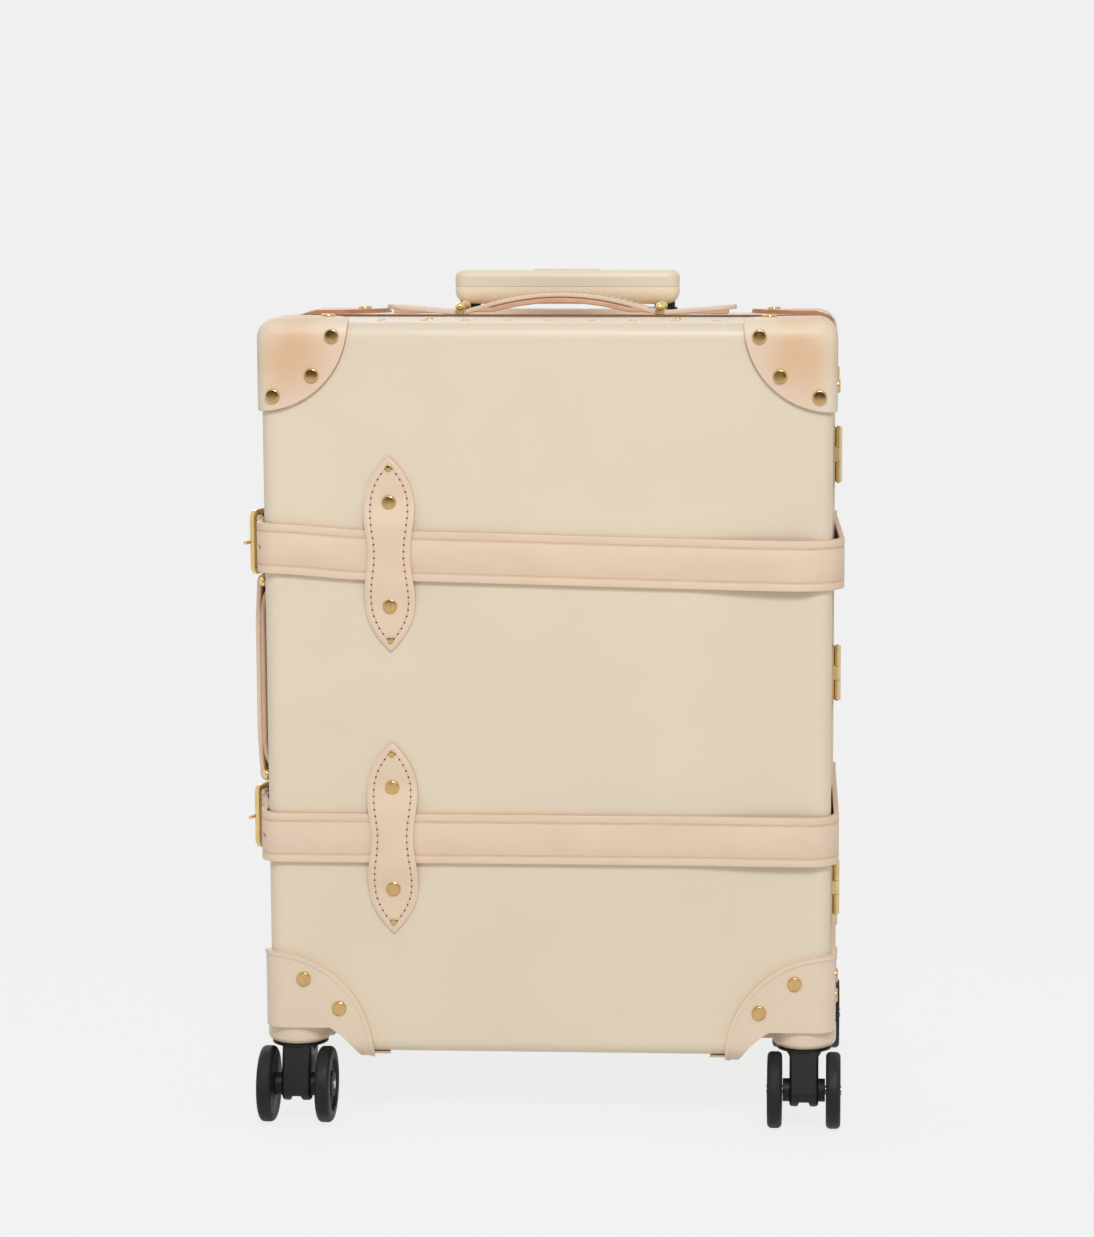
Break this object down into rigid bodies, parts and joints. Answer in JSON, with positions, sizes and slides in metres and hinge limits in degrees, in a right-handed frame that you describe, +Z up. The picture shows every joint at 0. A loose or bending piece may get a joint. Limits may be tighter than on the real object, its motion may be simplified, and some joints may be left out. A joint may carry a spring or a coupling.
{
  "type": "carry-on suitcase",
  "caption": "Trunk-style carry-on case of cream fibreboard: hinged lid, buckled leather straps, leather caps, telescopic handle and swivel casters.",
  "frame": {"origin": "on the floor under the middle of the case's width, in the plane of the seam", "axes": "+Z up, the lid faces -Y, the hinges are on +X"},
  "size_m": [0.3921, 0.247, 0.5461],
  "materials": {
    "fibreboard": "satin lacquered vulcanised fibre, cream",
    "binding_fibre": "brown edge binding",
    "rail_wood": "sanded ash",
    "lining_cloth": "woven cotton lining",
    "leather": "natural vegetable-tanned leather",
    "moulded_plastic": "satin moulded plastic, cream",
    "brass": "polished brass",
    "tube_metal": "black anodised tube",
    "fork_plastic": "black moulded nylon",
    "wheel_rubber": "black wheel",
    "axle_steel": "plain steel",
    "panel_board": "lined board"
  },
  "bodies": {
    "body": {"rear_shell": "fibreboard", "rear_binding": "binding_fibre", "rear_rails": "rail_wood", "rear_lining": "lining_cloth", "rear_caps": "leather", "rear_wheel_corners": "moulded_plastic", "rear_rivets": "brass", "hinge_body_leaves": "brass", "hinge_pins": "brass", "rear_straps": "leather", "rear_patches": "leather", "buckle_frames": "brass", "strap_keepers": "leather", "top_handle": "leather", "top_handle_loops": "brass", "trolley_top_plate": "moulded_plastic", "trolley_outer_tubes": "tube_metal", "trolley_bracket": "fork_plastic", "trolley_cover_panel": "panel_board", "lock_cases": "brass"},
    "lid": {"front_shell": "fibreboard", "front_rails": "rail_wood", "front_lining": "lining_cloth", "front_caps": "leather", "front_wheel_corners": "moulded_plastic", "front_rivets": "brass", "hinge_lid_leaves": "brass", "front_straps": "leather", "front_patches": "leather", "strap_tongues": "leather", "strap_bends": "leather", "lock_strikers": "brass", "side_handle": "leather", "side_handle_loops": "brass"},
    "trolley_middle": {"trolley_middle_tubes": "tube_metal"},
    "trolley_inner": {"trolley_inner_tubes": "tube_metal", "grip_lower": "moulded_plastic", "grip_upper": "moulded_plastic"},
    "button": {"release_button": "moulded_plastic"},
    "front_left_caster": {"front_left_fork": "fork_plastic", "front_left_axle": "axle_steel"},
    "front_left_wheel_l": {"front_left_wheel_l": "wheel_rubber"},
    "front_left_wheel_r": {"front_left_wheel_r": "wheel_rubber"},
    "front_right_caster": {"front_right_fork": "fork_plastic", "front_right_axle": "axle_steel"},
    "front_right_wheel_l": {"front_right_wheel_l": "wheel_rubber"},
    "front_right_wheel_r": {"front_right_wheel_r": "wheel_rubber"},
    "rear_left_caster": {"rear_left_fork": "fork_plastic", "rear_left_axle": "axle_steel"},
    "rear_left_wheel_l": {"rear_left_wheel_l": "wheel_rubber"},
    "rear_left_wheel_r": {"rear_left_wheel_r": "wheel_rubber"},
    "rear_right_caster": {"rear_right_fork": "fork_plastic", "rear_right_axle": "axle_steel"},
    "rear_right_wheel_l": {"rear_right_wheel_l": "wheel_rubber"},
    "rear_right_wheel_r": {"rear_right_wheel_r": "wheel_rubber"},
    "lower_prong": {"lower_prong": "brass"},
    "lower_lock": {"lower_lock_slider": "brass"},
    "upper_prong": {"upper_prong": "brass"},
    "upper_lock": {"upper_lock_slider": "brass"}
  },
  "joints": [
    {"name": "lid_open", "type": "hinge", "parent": "body", "child": "lid", "pos_m": [0.1839, 0, 0.28125], "axis": [0, 0, 1], "range_deg": [0, 100], "deforming": ["strap_tongues", "strap_bends"]},
    {"name": "trolley_lower_stage", "type": "slide", "parent": "body", "child": "trolley_middle", "axis": [0, 0, 1], "range_m": [0, 0.24]},
    {"name": "trolley_upper_stage", "type": "slide", "parent": "trolley_middle", "child": "trolley_inner", "axis": [0, 0, 1], "range_m": [0, 0.24]},
    {"name": "button_push", "type": "slide", "parent": "trolley_inner", "child": "button", "axis": [0, 0, -1], "range_m": [0, 0.004], "stiffness_N_per_m": 600},
    {"name": "front_left_swivel", "type": "hinge", "parent": "lid", "child": "front_left_caster", "pos_m": [-0.1637, -0.085, 0.052], "axis": [0, 0, 1], "continuous": true},
    {"name": "front_left_spin_l", "type": "hinge", "parent": "front_left_caster", "child": "front_left_wheel_l", "pos_m": [-0.1825, -0.099, 0.0245], "axis": [1, 0, 0], "continuous": true},
    {"name": "front_left_spin_r", "type": "hinge", "parent": "front_left_caster", "child": "front_left_wheel_r", "pos_m": [-0.1449, -0.099, 0.0245], "axis": [1, 0, 0], "continuous": true},
    {"name": "front_right_swivel", "type": "hinge", "parent": "lid", "child": "front_right_caster", "pos_m": [0.1637, -0.085, 0.052], "axis": [0, 0, 1], "continuous": true},
    {"name": "front_right_spin_l", "type": "hinge", "parent": "front_right_caster", "child": "front_right_wheel_l", "pos_m": [0.1449, -0.099, 0.0245], "axis": [1, 0, 0], "continuous": true},
    {"name": "front_right_spin_r", "type": "hinge", "parent": "front_right_caster", "child": "front_right_wheel_r", "pos_m": [0.1825, -0.099, 0.0245], "axis": [1, 0, 0], "continuous": true},
    {"name": "rear_left_swivel", "type": "hinge", "parent": "body", "child": "rear_left_caster", "pos_m": [-0.1637, 0.085, 0.052], "axis": [0, 0, 1], "continuous": true},
    {"name": "rear_left_spin_l", "type": "hinge", "parent": "rear_left_caster", "child": "rear_left_wheel_l", "pos_m": [-0.1825, 0.099, 0.0245], "axis": [1, 0, 0], "continuous": true},
    {"name": "rear_left_spin_r", "type": "hinge", "parent": "rear_left_caster", "child": "rear_left_wheel_r", "pos_m": [-0.1449, 0.099, 0.0245], "axis": [1, 0, 0], "continuous": true},
    {"name": "rear_right_swivel", "type": "hinge", "parent": "body", "child": "rear_right_caster", "pos_m": [0.1637, 0.085, 0.052], "axis": [0, 0, 1], "continuous": true},
    {"name": "rear_right_spin_l", "type": "hinge", "parent": "rear_right_caster", "child": "rear_right_wheel_l", "pos_m": [0.1449, 0.099, 0.0245], "axis": [1, 0, 0], "continuous": true},
    {"name": "rear_right_spin_r", "type": "hinge", "parent": "rear_right_caster", "child": "rear_right_wheel_r", "pos_m": [0.1825, 0.099, 0.0245], "axis": [1, 0, 0], "continuous": true},
    {"name": "lower_prong_swing", "type": "hinge", "parent": "body", "child": "lower_prong", "pos_m": [-0.19, -0.008, 0.18825], "axis": [0, 0, -1], "range_deg": [0, 75]},
    {"name": "lower_lock_slide", "type": "slide", "parent": "body", "child": "lower_lock", "axis": [0, 0, 1], "range_m": [0, 0.006], "stiffness_N_per_m": 300},
    {"name": "upper_prong_swing", "type": "hinge", "parent": "body", "child": "upper_prong", "pos_m": [-0.19, -0.008, 0.37025], "axis": [0, 0, -1], "range_deg": [0, 75]},
    {"name": "upper_lock_slide", "type": "slide", "parent": "body", "child": "upper_lock", "axis": [0, 0, 1], "range_m": [0, 0.006], "stiffness_N_per_m": 300}
  ]
}
